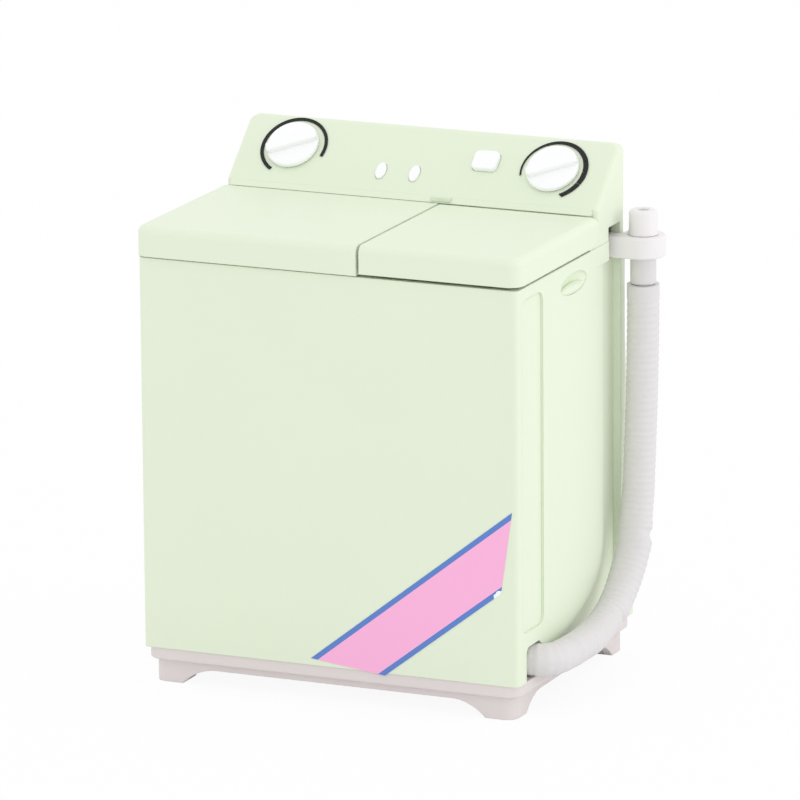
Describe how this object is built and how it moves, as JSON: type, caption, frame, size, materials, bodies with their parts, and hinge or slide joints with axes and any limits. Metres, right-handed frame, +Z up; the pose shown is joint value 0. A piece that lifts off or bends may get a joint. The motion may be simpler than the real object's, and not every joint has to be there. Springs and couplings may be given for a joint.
{
  "type": "dollhouse washing machine",
  "caption": "Miniature twin-tub washing machine with two hinged lids, a slanted console with turning timer knobs, a wash tub, a spin basket and a ribbed drain hose held in a clip.",
  "frame": {"origin": "centre of the bounding box on the floor that the feet stand on", "axes": "+X to the machine's right seen from its front, +Y to its back, +Z up"},
  "size_m": [0.0628, 0.042, 0.0735],
  "materials": {
    "shell": "satin moulded, pale mint green",
    "deck": "matt moulded, pale mint green",
    "base": "matt moulded, warm light grey",
    "hose": "soft satin, light grey",
    "tub": "glossy moulded, white",
    "knob": "satin moulded, white",
    "print": "matt, near black",
    "screw": "zinc plated",
    "pin": "drawn wire, bright"
  },
  "bodies": {
    "machine": {"cabinet": "shell", "rear_cover": "shell", "base_tray": "base", "rear_screw_1": "screw", "rear_screw_2": "screw", "rear_screw_3": "screw", "rear_screw_4": "screw", "base_screw_1": "screw", "base_screw_2": "screw", "base_screw_3": "screw", "base_screw_4": "screw", "top_deck": "deck", "wash_tub": "tub", "spin_tub": "tub", "drain_pipes": "hose", "wash_hinge_pin": "pin", "spin_hinge_pin": "pin", "console": "shell", "wash_dial_ring": "print", "spin_dial_ring": "print", "wash_lamp": "knob", "spin_lamp": "knob", "hose_clip": "hose", "hose_spout": "hose", "drain_hose": "hose"},
    "wash_lid": {"wash_lid": "shell"},
    "spin_lid": {"spin_lid": "shell"},
    "wash_timer": {"wash_timer_knob": "knob", "wash_timer_shaft": "knob"},
    "spin_timer": {"spin_timer_knob": "knob", "spin_timer_shaft": "knob"},
    "selector_key": {"selector_key": "knob"},
    "pulsator": {"pulsator": "shell", "pulsator_shaft": "pin"},
    "spin_basket": {"spin_basket": "tub", "spin_shaft": "pin"}
  },
  "joints": [
    {"name": "wash_lid_hinge", "type": "hinge", "parent": "machine", "child": "wash_lid", "pos_m": [-0.01482, 0.00528, 0.0627], "axis": [-1, 0, 0], "range_deg": [0, 95]},
    {"name": "spin_lid_hinge", "type": "hinge", "parent": "machine", "child": "spin_lid", "pos_m": [0.01372, 0.00528, 0.0627], "axis": [-1, 0, 0], "range_deg": [0, 95]},
    {"name": "wash_timer_turn", "type": "hinge", "parent": "machine", "child": "wash_timer", "pos_m": [-0.02268, 0.01271, 0.06932], "axis": [0, -0.6691, 0.7431], "range_deg": [-255, 0]},
    {"name": "spin_timer_turn", "type": "hinge", "parent": "machine", "child": "spin_timer", "pos_m": [0.01653, 0.01249, 0.06912], "axis": [0, -0.6691, 0.7431], "range_deg": [-255, 0]},
    {"name": "selector_key_press", "type": "slide", "parent": "machine", "child": "selector_key", "axis": [0, 0.6691, -0.7431], "range_m": [0, 0.0003], "stiffness_N_per_m": 40},
    {"name": "pulsator_turn", "type": "hinge", "parent": "machine", "child": "pulsator", "pos_m": [-0.01452, -0.00762, 0.025], "axis": [0, 0, 1], "continuous": true},
    {"name": "spin_basket_turn", "type": "hinge", "parent": "machine", "child": "spin_basket", "pos_m": [0.01218, -0.00743, 0.025], "axis": [0, 0, 1], "continuous": true}
  ]
}
